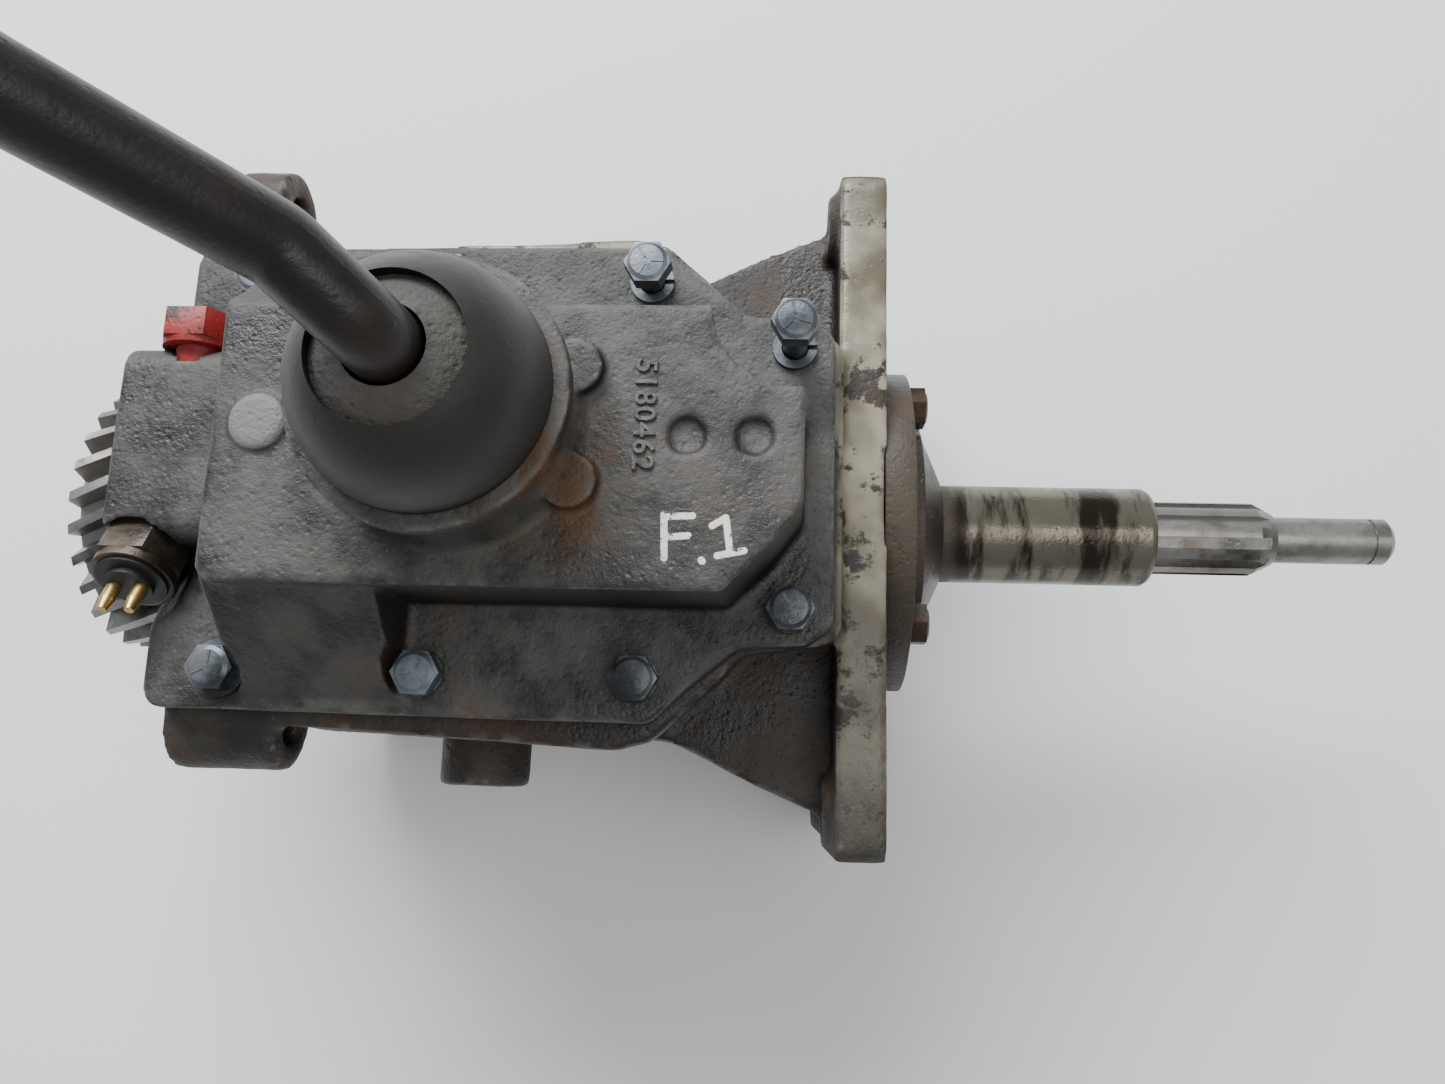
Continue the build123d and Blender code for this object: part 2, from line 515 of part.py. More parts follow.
def gear_case():
    body = slab(mirrored(body_outline), CASE_BOTTOM, SHOULDER_Z, 6.0)
    body += slab(mirrored(upper_outline), SHOULDER_Z - 10, case_top, 5.0)
    body += slab(mirrored(lip_outline), case_top - LIP_T, case_top, 6.0)
    body += bell_flange() + rear_lugs()
    body += sideways(FILL_X, FILL_Z, -CASE_HALF + 6, -CASE_HALF - 20, 16.0)
    for side in (-1, 1):
        for x in (-100.0, -178.0):
            body += block(x - 3, x + 3, side * (CASE_HALF - 4), side * (CASE_HALF + 3),
                          CASE_BOTTOM + 22, case_top - 8)
    body -= cavity()
    body += upright(DRAIN_X, 0, CASE_BOTTOM + 2, CASE_BOTTOM + WALL + 4, 15.0)
    body -= disc(1, -FRONT_WALL - 3, BEARING_R) + disc(1, -SEAT_DEPTH, RETAINER_R + SEAT_RELIEF)
    body -= disc(rear_inner_x + 1, rear_bearing_x - 1, RACE_OUT_R + 1)
    body -= disc(rear_bearing_x, rear_x - 1, BEARING_R)
    body -= disc(1, rear_x - 1, PIN_R, COUNTER_AXIS)
    body -= disc(rear_inner_x + 1, rear_x - 1, PIN_R, IDLER_AXIS)
    body -= [disc(1, -FLANGE_T - 6, BOLT_HOLE_R, place) for place in flange_bolt_places()]
    body -= [disc(rear_x - 1, rear_x + 22, REAR_BOLT_R, place) for place in rear_bolt_places()]
    body -= [disc(rear_x - 1, rear_x + length + 2, LUG_HOLE_R, (y, z)) for y, z, _, length in REAR_LUGS]
    body -= [upright(x, y, case_top - 24, case_top + 1, BOLT_R) for x, y in cover_bolt_places()]
    body -= [disc(1, -16, BOLT_R, place) for place in retainer_bolt_places()]
    body -= sideways(FILL_X, FILL_Z, -CASE_HALF + 10, -CASE_HALF - 21, PLUG_R)
    return body - upright(DRAIN_X, 0, CASE_BOTTOM - 1, CASE_BOTTOM + WALL + 5, PLUG_R)


save("gear_case", gear_case())


def plug(length):
    """Pipe plug pointing down, with a square socket in its head at z = 0."""
    return upright(0, 0, -length, 0, PLUG_R - THREAD) - block(-4, 4, -4, 4, -7, 1)


save("fill_and_drain_plugs", group(Pos(FILL_X, -CASE_HALF - 18, FILL_Z) * Rot(X=90) * plug(20),
                                   Pos(DRAIN_X, 0, CASE_BOTTOM + 3) * Rot(X=180) * plug(9)))


# ---------------------------------------------------------------- front retainer
def front_retainer():
    body = disc(-SEAT_DEPTH, RETAINER_T, RETAINER_R) - disc(-1, GASKET_T - SEAT_DEPTH, GASKET_R)
    body += disc(RETAINER_T, 15.0, 42.0)
    body += cone(15.0, 24.0, 40.0, QUILL_R + 2) + disc(15.0, QUILL_END - 2, QUILL_R)
    body += cone(QUILL_END - 2, QUILL_END, QUILL_R, QUILL_R - 1.2)
    body -= disc(-1, QUILL_END + 1, QUILL_BORE_R) + disc(-1, 9.0, SEAL_R)
    return body - [disc(-1, 30, BOLT_R + CLEAR, place) + disc(RETAINER_T, 30, 9.0, place)
                   for place in retainer_bolt_places()]


save("front_retainer", front_retainer())
save("retainer_gasket", ring(-SEAT_DEPTH, GASKET_T - SEAT_DEPTH, GASKET_R, BEARING_R)
     - [disc(-1, 2, BOLT_R + CLEAR, place) for place in retainer_bolt_places()])
save("input_oil_seal", ring(3.0, 9.0, SEAL_R, STEM_R + RUN))


def hex_bolt(length, proud=0.0):
    """Hexagon bolt pointing down, its head's underside at z = proud."""
    head = Pos(0, 0, proud) * hexagon(BOLT_AF, BOLT_HEAD)
    crown = Pos(0, 0, proud + BOLT_HEAD + 0.4) * Cone(BOLT_AF / 2 - 0.2, BOLT_AF / 2 - 1.4, 0.8)
    return head + crown + upright(0, 0, proud - length, proud, BOLT_R - THREAD)


save("retainer_bolts", group(*[Pos(RETAINER_T, y, z) * Rot(Y=90) * hex_bolt(22)
                               for y, z in retainer_bolt_places()]))

# ---------------------------------------------------------------- cover
COVER_INSET = 1.5
cover_outline = [(-18.0, 46.0), (-26.0, 52.0), (-46.0, 53.0), (-62.0, 66.0), (-73.0, CASE_HALF - COVER_INSET),
                 (rear_x - 1, CASE_HALF - COVER_INSET - 1)]
platform = [(-28.0, -16.0), (-28.0, 40.0), (-54.0, 41.5), (-196.0, 41.5), (-196.0, -41.5), (-50.0, -41.5),
            (-36.0, -27.0)]
SCOOP_R = 24.0
BLOCK_X0, BLOCK_X1 = -198.0, -148.0


def wide_block():
    """Wide rear part of the cover's roof, its sides sloping out to the flange."""
    section = Polyline((-71, cover_top - 2), (71, cover_top - 2), (71, cover_top + 1), (41, PLATFORM_Z),
                       (-37, PLATFORM_Z), (-71, cover_top + 1), close=True)
    return extrude(across(BLOCK_X0) * make_face(section), BLOCK_X1 - BLOCK_X0)


def tower():
    """Tower for the lever's ball: flared foot, wide collar, and the slotted stub under the dome."""
    foot = Pos(TOWER_X, TOWER_Y, PLATFORM_Z + 5) * Cone(TOWER_R + 9, TOWER_R, 12)
    shape = foot + upright(TOWER_X, TOWER_Y, PLATFORM_Z - 2, COLLAR_TOP_Z, TOWER_R)
    shape += upright(TOWER_X, TOWER_Y, COLLAR_TOP_Z - 7, COLLAR_TOP_Z, TOWER_COLLAR_R)
    return shape + upright(TOWER_X, TOWER_Y, COLLAR_TOP_Z, STUB_Z, STUB_R)


def tower_bore():
    """What is cut from the tower: the finger's room, the ball's socket, and the slots for the pivot pin."""
    shape = upright(TOWER_X, TOWER_Y, PLATFORM_Z - ROOF - 1, PIVOT_Z - 13, 22.5)
    shape += upright(TOWER_X, TOWER_Y, PIVOT_Z - 14, PIVOT_Z, 12.5)
    shape += Pos(TOWER_X, TOWER_Y, PIVOT_Z) * Sphere(BALL_R + 2 * RUN)
    shape += upright(TOWER_X, TOWER_Y, PIVOT_Z, STUB_Z + 1, BALL_R + 0.5)
    half, low = PIVOT_PIN_HALF + 1, PIVOT_Z - PIVOT_PIN_R - PIVOT_PIN_HALF * sin(radians(12))
    side = PIVOT_PIN_R + RUN
    return shape + block(TOWER_X - side, TOWER_X + side, TOWER_Y - half, TOWER_Y + half, low, STUB_Z + 1)


SWITCH_AT = Pos(SWITCH_X, BOSS_Y0 + 1, SWITCH_Z) * Rot(X=90 - SWITCH_TILT)     # its own +Z points out and up
FRONT_LAND_X, REAR_LAND_X = -43.0, -184.0
BORE_FRONT_X, BORE_REAR_X = RAIL_FRONT_X + TRAVEL + 1, RAIL_REAR_X - TRAVEL - 1
LAND_Z, LAND_Y0, LAND_Y1 = RAIL_Z - RAIL_R - 2, -21.0, 30.0
DETENT_TOP_Z = 107.0
INTERLOCK_X = -40.0


def top_cover():
    body = slab(mirrored(cover_outline), COVER_Z, cover_top, 6.0)
    roof = slab(platform, COVER_Z + 1, PLATFORM_Z, 3.0)
    body += roof - upright(FRONT_BOLT_X, FRONT_BOLT_Y, cover_top, PLATFORM_Z + 1, SCOOP_R)
    boss = block(BOSS_END_X, BLOCK_X0 + 5, BOSS_Y0, BOSS_Y1, COVER_Z, BOSS_Z)
    boss = fillet(boss.edges().filter_by(Axis.X).group_by(Axis.Z)[-1], 8.0)
    body += wide_block() + boss + tower()
    body += (SWITCH_AT * upright(0, 0, -4, 0, SWITCH_AF / 2)
             - block(BOSS_END_X - 10, rear_x + 40, -60, 0, 50, COVER_Z))
    for name in ("34", "reverse"):
        body += upright(DETENT_X[name], RAIL_Y[name], PLATFORM_Z - 1, PLATFORM_Z + 5, 8.0)
    body += upright(-184.0, 4.5, PLATFORM_Z - 1, PLATFORM_Z + 2, 8.0)
    body -= block(FRONT_LAND_X, REAR_LAND_X, LAND_Y0 - 5, LAND_Y1 + 2, COVER_Z - 1, roof_z)
    body += block(FRONT_LAND_X, BORE_FRONT_X + 1, LAND_Y0, LAND_Y1, LAND_Z, COVER_Z + 1)
    body += block(REAR_LAND_X, BORE_REAR_X - 2, LAND_Y0, LAND_Y1, LAND_Z, COVER_Z + 1)
    for name, y in RAIL_Y.items():
        body += upright(DETENT_X[name], y, RAIL_Z + RAIL_R + CLEAR, roof_z + 1, DETENT_R + 3)
    for name, y in RAIL_Y.items():
        body -= disc(BORE_FRONT_X, BORE_REAR_X, RAIL_R + RUN, (y, RAIL_Z))
        body -= upright(DETENT_X[name], y, RAIL_Z, DETENT_TOP_Z, DETENT_R + RUN)
    body -= tower_bore()
    body -= sideways(INTERLOCK_X, RAIL_Z, RAIL_Y["reverse"], RAIL_Y["34"], 2.0)
    for x in (-42.0, -61.0):
        body -= upright(x, 2.5, PLATFORM_Z - 3, PLATFORM_Z + 1, 5.5)
    body -= [upright(x, y, COVER_Z - 1, cover_top + 1, BOLT_R + CLEAR) for x, y in cover_bolt_places()]
    body -= [upright(x, y, cover_top, PLATFORM_Z + 1, BOLT_AF / 2 + 3) for x, y in side_bolt_places()]
    body -= sideways(HEX_PLUG_X, HEX_PLUG_Z, BOSS_Y1 - SHANK_L - CLEAR, BOSS_Y1 + 1, SHANK_R)
    body -= sideways(HEX_PLUG_X, HEX_PLUG_Z, BOSS_Y1, BOSS_Y1 + 13, HEX_PLUG_AF / 2 + 2.5)
    body -= SWITCH_AT * upright(0, 0, 0, 24, SWITCH_AF / 2 + 2.5)
    return body - SWITCH_AT * upright(0, 0, -SHANK_L - CLEAR, 1, SHANK_R)


save("top_cover", top_cover())
save("cover_gasket", slab(mirrored(cover_outline), case_top, COVER_Z, 6.0)
     - slab(mirrored(opening), case_top - 1, COVER_Z + 1, 4.0)
     - block(BORE_REAR_X - 3, rear_inner_x + 6, LAND_Y0 - 1, LAND_Y1 + 1, case_top - 1, COVER_Z + 1)
     - [upright(x, y, case_top - 1, COVER_Z + 1, BOLT_R + CLEAR) for x, y in cover_bolt_places()])


def lock_washer():
    """Split spring washer."""
    body = upright(0, 0, 0, WASHER_T, 7.0) - upright(0, 0, -1, WASHER_T + 1, BOLT_R + CLEAR)
    return body - block(4, 9, -0.8, 0.8, -1, 3)


def flat_washer():
    return upright(0, 0, 0, WASHER_T, 9.0) - upright(0, 0, -1, WASHER_T + 1, BOLT_R + CLEAR)


FLAT_WASHER_AT = (SIDE_BOLTS_X[2], -SIDE_BOLT_Y)
save("cover_bolts", group(*[Pos(x, y, cover_top + WASHER_T) * hex_bolt(28, LOOSE_BOLTS.get((x, y), 0.0))
                            for x, y in cover_bolt_places()]))
save("cover_washers", group(*[Pos(x, y, cover_top) * (flat_washer() if (x, y) == FLAT_WASHER_AT else lock_washer())
                              for x, y in cover_bolt_places()]))

# ---------------------------------------------------------------- plug and switch on the rear boss
hex_plug = Pos(HEX_PLUG_X, BOSS_Y1, HEX_PLUG_Z) * Rot(X=-90) * (
    upright(0, 0, 0, 2, HEX_PLUG_AF / 2) + Pos(0, 0, 2) * hexagon(HEX_PLUG_AF, 9.0)
    + upright(0, 0, -SHANK_L, 0, SHANK_R - THREAD))
save("rear_hex_plug", hex_plug)
save("switch_body", SWITCH_AT * (hexagon(SWITCH_AF, 11.0) + upright(0, 0, 11, 14, 12.2)
                                 + upright(0, 0, -SHANK_L, 0, SHANK_R - THREAD) - upright(0, 0, 10, 15, 10.5)))
save("switch_insulator", SWITCH_AT * (upright(0, 0, 10, 15, 10.5) + upright(0, 0, 15, 17, 7.0)))
save("switch_terminals", group(*[SWITCH_AT * (upright(x, 0, 17, 22, 2.2) + Pos(x, 0, 24) * Cone(2.2, 1.4, 4))
                                 for x in (-4.2, 4.2)]))


# ---------------------------------------------------------------- shift rails, forks and gates
def rail(name):
    return disc(RAIL_FRONT_X, RAIL_REAR_X, RAIL_R, (RAIL_Y[name], RAIL_Z))


def gate(name):
    """Gate lug clamped on a rail, with the notch that the lever's finger drops into."""
    y_rail, y = RAIL_Y[name], GATE_Y[name]
    rear, front = TOWER_X - GATE_LENGTH / 2, TOWER_X + GATE_LENGTH / 2
    over_rail = RAIL_Z + RAIL_R
    offset = abs(y - y_rail) > RAIL_R - 1
    foot_top = over_rail + 3 if offset else over_rail - CLEAR
    body = block(rear, TOWER_X, y_rail - FOOT_HALF, y_rail + FOOT_HALF, RAIL_Z - FOOT_HALF, foot_top)
    body += block(rear, front, y - GATE_T / 2, y + GATE_T / 2, over_rail, GATE_TOP_Z)
    low, high = sorted((y_rail, y))
    body += block(rear, TOWER_X, low - 2, high + 2, over_rail if offset else RAIL_Z,
                  max(foot_top, over_rail + 1))
    reach = FINGER_R + CLEAR
    body -= block(TOWER_X - reach, TOWER_X + reach, y - GATE_T, y + GATE_T,
                  FINGER_Z - FINGER_R - 1, GATE_TOP_Z + 1)
    return body - disc(rear - 1, front + 1, RAIL_R, (y_rail, RAIL_Z))


def fork(name, x, thickness, bore, reach):
    """Fork astride a groove, hung from its rail."""
    y = RAIL_Y[name]
    half = thickness / 2
    arch = ring(x - half, x + half, reach, bore)
    arch -= block(x - half - 1, x + half + 1, -reach - 1, reach + 1, -reach - 1, -2)
    stem = block(x - half, x + half, y - 6, y + 6, bore + 1, RAIL_Z)
    stem -= disc(x - half - 1, x + half + 1, bore)
    clamp = disc(x - half, x + half, RAIL_R + 3, (y, RAIL_Z))
    clamp -= block(x - half - 1, x + half + 1, y - 20, y + 20, RAIL_Z + RAIL_R - 0.5, RAIL_Z + 20)
    return arch + stem + clamp - disc(x - half - 1, x + half + 1, RAIL_R, (y, RAIL_Z))


FORKS = {"34": (hub34_mid, GROOVE_W - 0.6, GROOVE_R + CLEAR, FORK_R),
         "12": (hub12_mid, GROOVE_W - 0.6, GROOVE_R + CLEAR, FORK_R),
         "reverse": (reverse_fork_x, COLLAR_GROOVE_W - 0.6, COLLAR_GROOVE_R + CLEAR, FORK_R - 5)}
for name, sizes in FORKS.items():
    save(f"rail_{name}", rail(name))
    save(f"gate_{name}", gate(name))
    save(f"fork_{name}", fork(name, *sizes))

ball_z = RAIL_Z + RAIL_R + RUN + DETENT_R
save("detent_balls", group(*[Pos(DETENT_X[n], y, ball_z) * Sphere(DETENT_R) for n, y in RAIL_Y.items()]))
save("detent_springs", group(*[upright(DETENT_X[n], y, ball_z + DETENT_R, DETENT_TOP_Z, DETENT_R)
                               - upright(DETENT_X[n], y, ball_z, DETENT_TOP_Z + 1, DETENT_R - 1)
                               for n, y in RAIL_Y.items()]))
rail_ys = sorted(RAIL_Y.values())
save("interlock_pins", group(*[sideways(INTERLOCK_X, RAIL_Z, low + RAIL_R + RUN, high - RAIL_R - RUN, 2.0 - THREAD)
                               for low, high in zip(rail_ys, rail_ys[1:])]))

# ---------------------------------------------------------------- lever
PIVOT = Pos(TOWER_X, TOWER_Y, PIVOT_Z)
COLLAR_Z0, COLLAR_Z1, LEVER_COLLAR_R = 11.6, 13.6, 14.0
LEVER_BEND_R = 14.0
dust_cap_r = DOME_R - DOME_T - 0.5


def lever_ball():
    """Ball with the finger under it, the spring's collar over it, and the cross hole for the pivot pin."""
    finger_z = FINGER_Z - PIVOT_Z
    body = Sphere(BALL_R) - upright(0, 0, COLLAR_Z0, BALL_R + 1, BALL_R)
    body += upright(0, 0, COLLAR_Z0, COLLAR_Z1, LEVER_COLLAR_R)
    body += upright(0, 0, finger_z + 8, 0, 6.0)
    body += block(-5, 5, -FINGER_T / 2, FINGER_T / 2, finger_z, finger_z + 10)
    body += sideways(0, finger_z, -FINGER_T / 2, FINGER_T / 2, FINGER_R)
    return PIVOT * (body - sideways(0, 0, -BALL_R - 1, BALL_R + 1, PIVOT_PIN_R + RUN))


def lever_rod():
    """Bent round bar from the ball's collar to the knob."""
    start = (0, 0, COLLAR_Z1)
    path = FilletPolyline(start, *LEVER_PATH, radius=LEVER_BEND_R)
    return PIVOT * sweep(Plane(origin=start, z_dir=(0, 0, 1)) * Circle(LEVER_R), path=path)


def shell(outer, thickness, cut_z, mouth):
    """Spherical shell above a plane, with a round mouth in its top."""
    body = Sphere(outer) - Sphere(outer - thickness)
    body -= Pos(0, 0, cut_z - 2 * outer) * Box(4 * outer, 4 * outer, 4 * outer)
    return body - upright(0, 0, 0, outer + 1, mouth)


def lever_knob():
    """Ball knob with a short neck, pushed over the bar's end."""
    end, before = Vector(*LEVER_PATH[-1]), Vector(*LEVER_PATH[-2])
    along = (end - before).normalized()
    seat = Plane(origin=end - along * 16, z_dir=along)
    body = Pos(0, 0, 18) * Sphere(KNOB_R) + upright(0, 0, -8, 8, LEVER_R + 4)
    return PIVOT * (seat * body - seat * upright(0, 0, -9, 16, LEVER_R))


save("pivot_pin", PIVOT * sideways(0, 0, -PIVOT_PIN_HALF, PIVOT_PIN_HALF, PIVOT_PIN_R))
save("lever_ball", lever_ball())
save("lever_rod", lever_rod())
save("lever_knob", lever_knob())
save("dome_cap", PIVOT * shell(DOME_R, DOME_T, COLLAR_TOP_Z - PIVOT_Z, MOUTH_R))
save("dust_cap", PIVOT * shell(dust_cap_r, DUST_CAP_T, dust_cap_r * cos(radians(DUST_CAP_ANGLE)),
                               DUST_HOLE_R))
spring = Pos(0, 0, COLLAR_Z1 + 5.2) * (Cone(12.5, 15.2, 10.4) - Cone(11.3, 14.0, 10.4))
save("lever_spring", PIVOT * spring)
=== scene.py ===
import bpy, bmesh
import json
from math import pi, radians
from mathutils import Matrix, Vector, noise


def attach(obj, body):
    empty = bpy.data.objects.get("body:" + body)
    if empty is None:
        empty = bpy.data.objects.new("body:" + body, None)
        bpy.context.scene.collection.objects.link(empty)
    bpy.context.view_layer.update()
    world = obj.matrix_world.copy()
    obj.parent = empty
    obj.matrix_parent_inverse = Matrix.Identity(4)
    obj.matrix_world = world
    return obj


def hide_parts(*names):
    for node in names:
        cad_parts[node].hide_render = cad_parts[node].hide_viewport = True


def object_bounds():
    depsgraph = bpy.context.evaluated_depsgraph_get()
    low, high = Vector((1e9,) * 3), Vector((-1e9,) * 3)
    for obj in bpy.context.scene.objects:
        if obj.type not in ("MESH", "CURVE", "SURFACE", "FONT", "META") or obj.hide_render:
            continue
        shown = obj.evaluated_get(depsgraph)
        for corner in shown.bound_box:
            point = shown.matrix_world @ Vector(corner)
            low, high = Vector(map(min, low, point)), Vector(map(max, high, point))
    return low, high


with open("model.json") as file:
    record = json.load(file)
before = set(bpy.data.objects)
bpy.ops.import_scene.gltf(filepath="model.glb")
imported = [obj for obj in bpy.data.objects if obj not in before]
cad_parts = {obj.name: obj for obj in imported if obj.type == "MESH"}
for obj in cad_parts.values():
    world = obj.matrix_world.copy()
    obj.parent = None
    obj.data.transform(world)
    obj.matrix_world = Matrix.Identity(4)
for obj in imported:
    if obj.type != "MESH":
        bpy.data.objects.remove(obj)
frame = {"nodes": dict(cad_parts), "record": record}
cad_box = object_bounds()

MM = 0.001

# ------------------------------------------------------------------ camera
# The gearbox is seen from above and a little from the front, about 40 cm from the shaft's axis.
camera = bpy.data.objects.new("camera", bpy.data.cameras.new("camera"))
bpy.context.collection.objects.link(camera)
camera.data.sensor_width = 36.0
camera.data.lens = 27.0
camera_at = Vector((-0.0332, -0.0857, 0.4056))
camera_to = Vector((-0.0571, -0.0036, -0.0056))
camera_roll = radians(-14.8)
aim = (camera_to - camera_at).to_track_quat("-Z", "Y").to_matrix().to_4x4()
camera.matrix_world = Matrix.Translation(camera_at) @ aim @ Matrix.Rotation(camera_roll, 4, "Z")
bpy.context.scene.camera = camera

# ------------------------------------------------------------------ floor and light
# A plain pale floor under the case, one large soft window of light from behind the tower, and a weak fill.
floor_z = cad_box[0][2]
bpy.ops.mesh.primitive_plane_add(size=12.0, location=(0, 0, floor_z - 0.0005))
floor = bpy.context.object
floor.name = "floor"
paper = bpy.data.materials.new("pale_floor")
paper.use_nodes = True
paper.node_tree.nodes["Principled BSDF"].inputs["Base Color"].default_value = (0.93, 0.93, 0.92, 1)
paper.node_tree.nodes["Principled BSDF"].inputs["Roughness"].default_value = 0.9
floor.data.materials.append(paper)

sky = bpy.data.worlds.new("sky")
bpy.context.scene.world = sky
sky.use_nodes = True
sky.node_tree.nodes["Background"].inputs["Color"].default_value = (0.93, 0.96, 1.0, 1)
sky.node_tree.nodes["Background"].inputs["Strength"].default_value = 0.42


def soft_light(name, place, target, size, watts, color):
    lamp = bpy.data.lights.new(name, "AREA")
    lamp.shape = "RECTANGLE"
    lamp.size, lamp.size_y = size
    lamp.energy = watts
    lamp.color = color
    holder = bpy.data.objects.new(name, lamp)
    holder.location = place
    holder.rotation_euler = (Vector(target) - Vector(place)).to_track_quat("-Z", "Y").to_euler()
    bpy.context.collection.objects.link(holder)


soft_light("window", (-0.55, 1.15, 1.15), (-0.1, 0, 0.05), (1.3, 0.8), 50.0, (0.95, 0.98, 1.0))
soft_light("lamp_over", (0.5, -0.15, 1.6), (0.0, 0, 0.0), (0.9, 0.9), 9.0, (1.0, 0.97, 0.92))


# ------------------------------------------------------------------ case
# The main case is sand-cast grey iron: rough skin, oily grime, rust in the corners, and a milled strip along
# the top of its front flange, painted brighter towards the lit +Y side. The casting's machined top carries
# the cover on eight bolts.
def put(tree, kind, inputs=None, **settings):
    """Adds a shader node. An input that is a socket is linked, and anything else is its value."""
    node = tree.nodes.new("ShaderNode" + kind)
    for key, value in settings.items():
        setattr(node, key, value)
    for key, value in (inputs or {}).items():
        if isinstance(value, bpy.types.NodeSocket):
            tree.links.new(value, node.inputs[key])
        else:
            node.inputs[key].default_value = value
    return node


def mixed(tree, factor, first, second, mode="MIX"):
    """One colour laid over another by a mask."""
    return put(tree, "Mix", {0: factor, 6: first, 7: second}, data_type="RGBA", blend_type=mode).outputs[2]


def calc(tree, operation, first, second=0.0, clamp=False):
    return put(tree, "Math", {0: first, 1: second}, operation=operation, use_clamp=clamp).outputs[0]


def band(tree, value, low, high):
    """0 below low, 1 above high, and smooth between them. A low above high turns it round."""
    limits = {"Value": value, "From Min": low, "From Max": high}
    return put(tree, "MapRange", limits, interpolation_type="SMOOTHSTEP").outputs["Result"]


def cloud(tree, place, scale, detail=4.0, rough=0.55):
    settings = {"Vector": place, "Scale": scale, "Detail": detail, "Roughness": rough}
    return put(tree, "TexNoise", settings).outputs[0]


def effect(name, inputs, outputs):
    """An empty node group with named sockets."""
    group = bpy.data.node_groups.new(name, "ShaderNodeTree")
    for label, kind, value in inputs:
        socket = group.interface.new_socket(label, in_out="INPUT", socket_type="NodeSocket" + kind)
        socket.default_value = value
    for label, kind in outputs:
        group.interface.new_socket(label, in_out="OUTPUT", socket_type="NodeSocket" + kind)
    return group, group.nodes.new("NodeGroupInput").outputs, group.nodes.new("NodeGroupOutput").inputs


def weathering_and_top_light():
    """Metal skin with settled dust and painted top light facing up, oily grime, rust, and a cast or rolled
    grain.
    """
    group, given, out = effect("weathering_and_top_light", [
        ("Place", "Vector", (0, 0, 0)), ("Base", "Color", (0.1, 0.1, 0.1, 1)),
        ("Dust and Top Light", "Color", (0.2, 0.2, 0.2, 1)), ("Rust", "Color", (0.1, 0.04, 0.015, 1)),
        ("Dust and Top Light Amount", "Float", 0.5), ("Rust Amount", "Float", 0.3), ("Oil Amount", "Float", 0.3),
        ("Grain", "Float", 1.0), ("Dry Roughness", "Float", 0.6)],
        [("Color", "Color"), ("Roughness", "Float"), ("Height", "Float")])
    place = given["Place"]
    broad = cloud(group, place, 14.0, 3.0)
    patch = cloud(group, place, 52.0, 5.0, 0.62)
    speck = cloud(group, place, 260.0, 4.0, 0.7)
    sized = put(group, "VectorMath", {0: place, "Scale": given["Grain"]}, operation="SCALE").outputs[0]
    sand = cloud(group, sized, 720.0, 3.0, 0.65)
    pits = put(group, "TexVoronoi", {"Vector": place, "Scale": 330.0, "Randomness": 1.0}).outputs["Distance"]
    # Painted light: up-facing surfaces take the dust colour, which stands for both settled dust and the light
    # falling on tops, so walls stay dark.
    facing = put(group, "SeparateXYZ", {0: put(group, "TexCoord").outputs["Normal"]}).outputs["Z"]
    top = band(group, facing, 0.25, 0.95)
    dust_and_top_light_mask = calc(group, "MULTIPLY", band(group, patch, 0.30, 0.66), top)
    dust_and_top_light_mask = calc(group, "MULTIPLY", dust_and_top_light_mask, given["Dust and Top Light Amount"])
    color = mixed(group, dust_and_top_light_mask, given["Base"], given["Dust and Top Light"])
    color = mixed(group, calc(group, "MULTIPLY", band(group, speck, 0.55, 0.72), 0.55), color,
                  mixed(group, 0.5, color, (0.012, 0.012, 0.011, 1)))
    rust_field = calc(group, "ADD", calc(group, "MULTIPLY", patch, 0.6), calc(group, "MULTIPLY", broad, 0.55))
    rust_field = calc(group, "ADD", rust_field, calc(group, "MULTIPLY", given["Rust Amount"], 0.5))
    rust_mask = calc(group, "MULTIPLY", band(group, rust_field, 0.68, 0.86), calc(group, "ADD", 0.25, speck))
    rust_mask = calc(group, "MINIMUM", rust_mask, 0.9)
    color = mixed(group, rust_mask, color, given["Rust"])
    oil_field = calc(group, "ADD", cloud(group, place, 23.0, 5.0, 0.6),
                     calc(group, "MULTIPLY", given["Oil Amount"], 0.4))
    oil_mask = band(group, oil_field, 0.56, 0.78)
    color = mixed(group, calc(group, "MULTIPLY", oil_mask, 0.8), color, (0.008, 0.0075, 0.006, 1))
    rough = calc(group, "SUBTRACT", given["Dry Roughness"], calc(group, "MULTIPLY", oil_mask, 0.22))
    uneven = calc(group, "MULTIPLY", calc(group, "SUBTRACT", patch, 0.5), 0.35)
    rough = calc(group, "ADD", rough, uneven, clamp=True)
    height = calc(group, "ADD", calc(group, "MULTIPLY", sand, 0.55), calc(group, "MULTIPLY", speck, 0.8))
    height = calc(group, "ADD", height, calc(group, "MULTIPLY", band(group, pits, 0.0, 0.35), 0.35))
    group.links.new(color, out["Color"])
    group.links.new(rough, out["Roughness"])
    group.links.new(height, out["Height"])
    return group


WEATHERING_AND_TOP_LIGHT = weathering_and_top_light()


